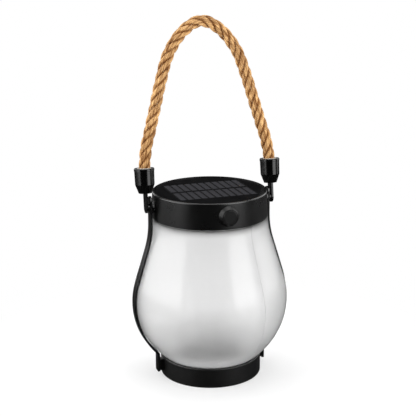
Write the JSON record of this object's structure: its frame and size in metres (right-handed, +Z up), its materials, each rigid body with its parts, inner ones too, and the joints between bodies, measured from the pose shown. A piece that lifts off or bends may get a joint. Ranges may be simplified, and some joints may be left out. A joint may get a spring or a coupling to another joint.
{
  "type": "solar jar lantern",
  "caption": "Pear-shaped frosted jar lantern with a black solar cap, push button, base cup, side straps and a swinging rope handle, for lighting a table or hanging outdoors.",
  "frame": {"origin": "centre of the base's underside, on the surface that it stands on", "axes": "+Z up along the jar's axis, X through the two straps and pivots, -Y towards the push button at the front"},
  "size_m": [0.1354, 0.1306, 0.3019],
  "materials": {
    "black_plastic": "satin, fine moulded grain",
    "button_plastic": "satin",
    "frosted_plastic": "frosted, glossy outside",
    "panel_resin": "clear resin over black",
    "solar_cell": "dark bluish grey with fine lines",
    "seal_rubber": "matt",
    "steel": "bright zinc",
    "board_white": "white mask",
    "board_green": "green mask",
    "led_chip": "phosphor resin",
    "lens_plastic": "frosted",
    "battery_can": "shrink sleeve over a metal can",
    "switch_plastic": "matt",
    "lead_sleeve": "soft sleeve",
    "jute": "laid rope, loose fibres",
    "glue": "pale hot-melt glue"
  },
  "bodies": {
    "lantern": {"cap_housing": "black_plastic", "base_cup": "black_plastic", "left_strap": "black_plastic", "right_strap": "black_plastic", "light_tray": "black_plastic", "button_bezel": "black_plastic", "jar": "frosted_plastic", "solar_panel": "panel_resin", "solar_cells": "solar_cell", "neck_seal": "seal_rubber", "tray_screws": "steel", "battery_contacts": "steel", "led_board": "board_white", "control_board": "board_green", "switch_board": "board_green", "leds": "led_chip", "led_lens": "lens_plastic", "battery": "battery_can", "switch_body": "switch_plastic", "panel_leads": "lead_sleeve", "led_leads": "lead_sleeve", "battery_leads": "lead_sleeve", "switch_leads": "lead_sleeve"},
    "handle": {"rope_handle": "jute", "left_rope_end": "black_plastic", "right_rope_end": "black_plastic", "left_glue": "glue", "right_glue": "glue", "pivot_washers": "steel", "pivot_screws": "steel"},
    "button": {"push_button": "button_plastic", "switch_plunger": "switch_plastic"}
  },
  "joints": [
    {"name": "handle_swing", "type": "hinge", "parent": "lantern", "child": "handle", "pos_m": [0, 0, 0.1492], "axis": [1, 0, 0], "range_deg": [-119, 133]},
    {"name": "button_press", "type": "slide", "parent": "lantern", "child": "button", "axis": [0, 1, 0], "range_m": [0, 0.0012], "stiffness_N_per_m": 1200, "springref_m": -0.0005}
  ]
}
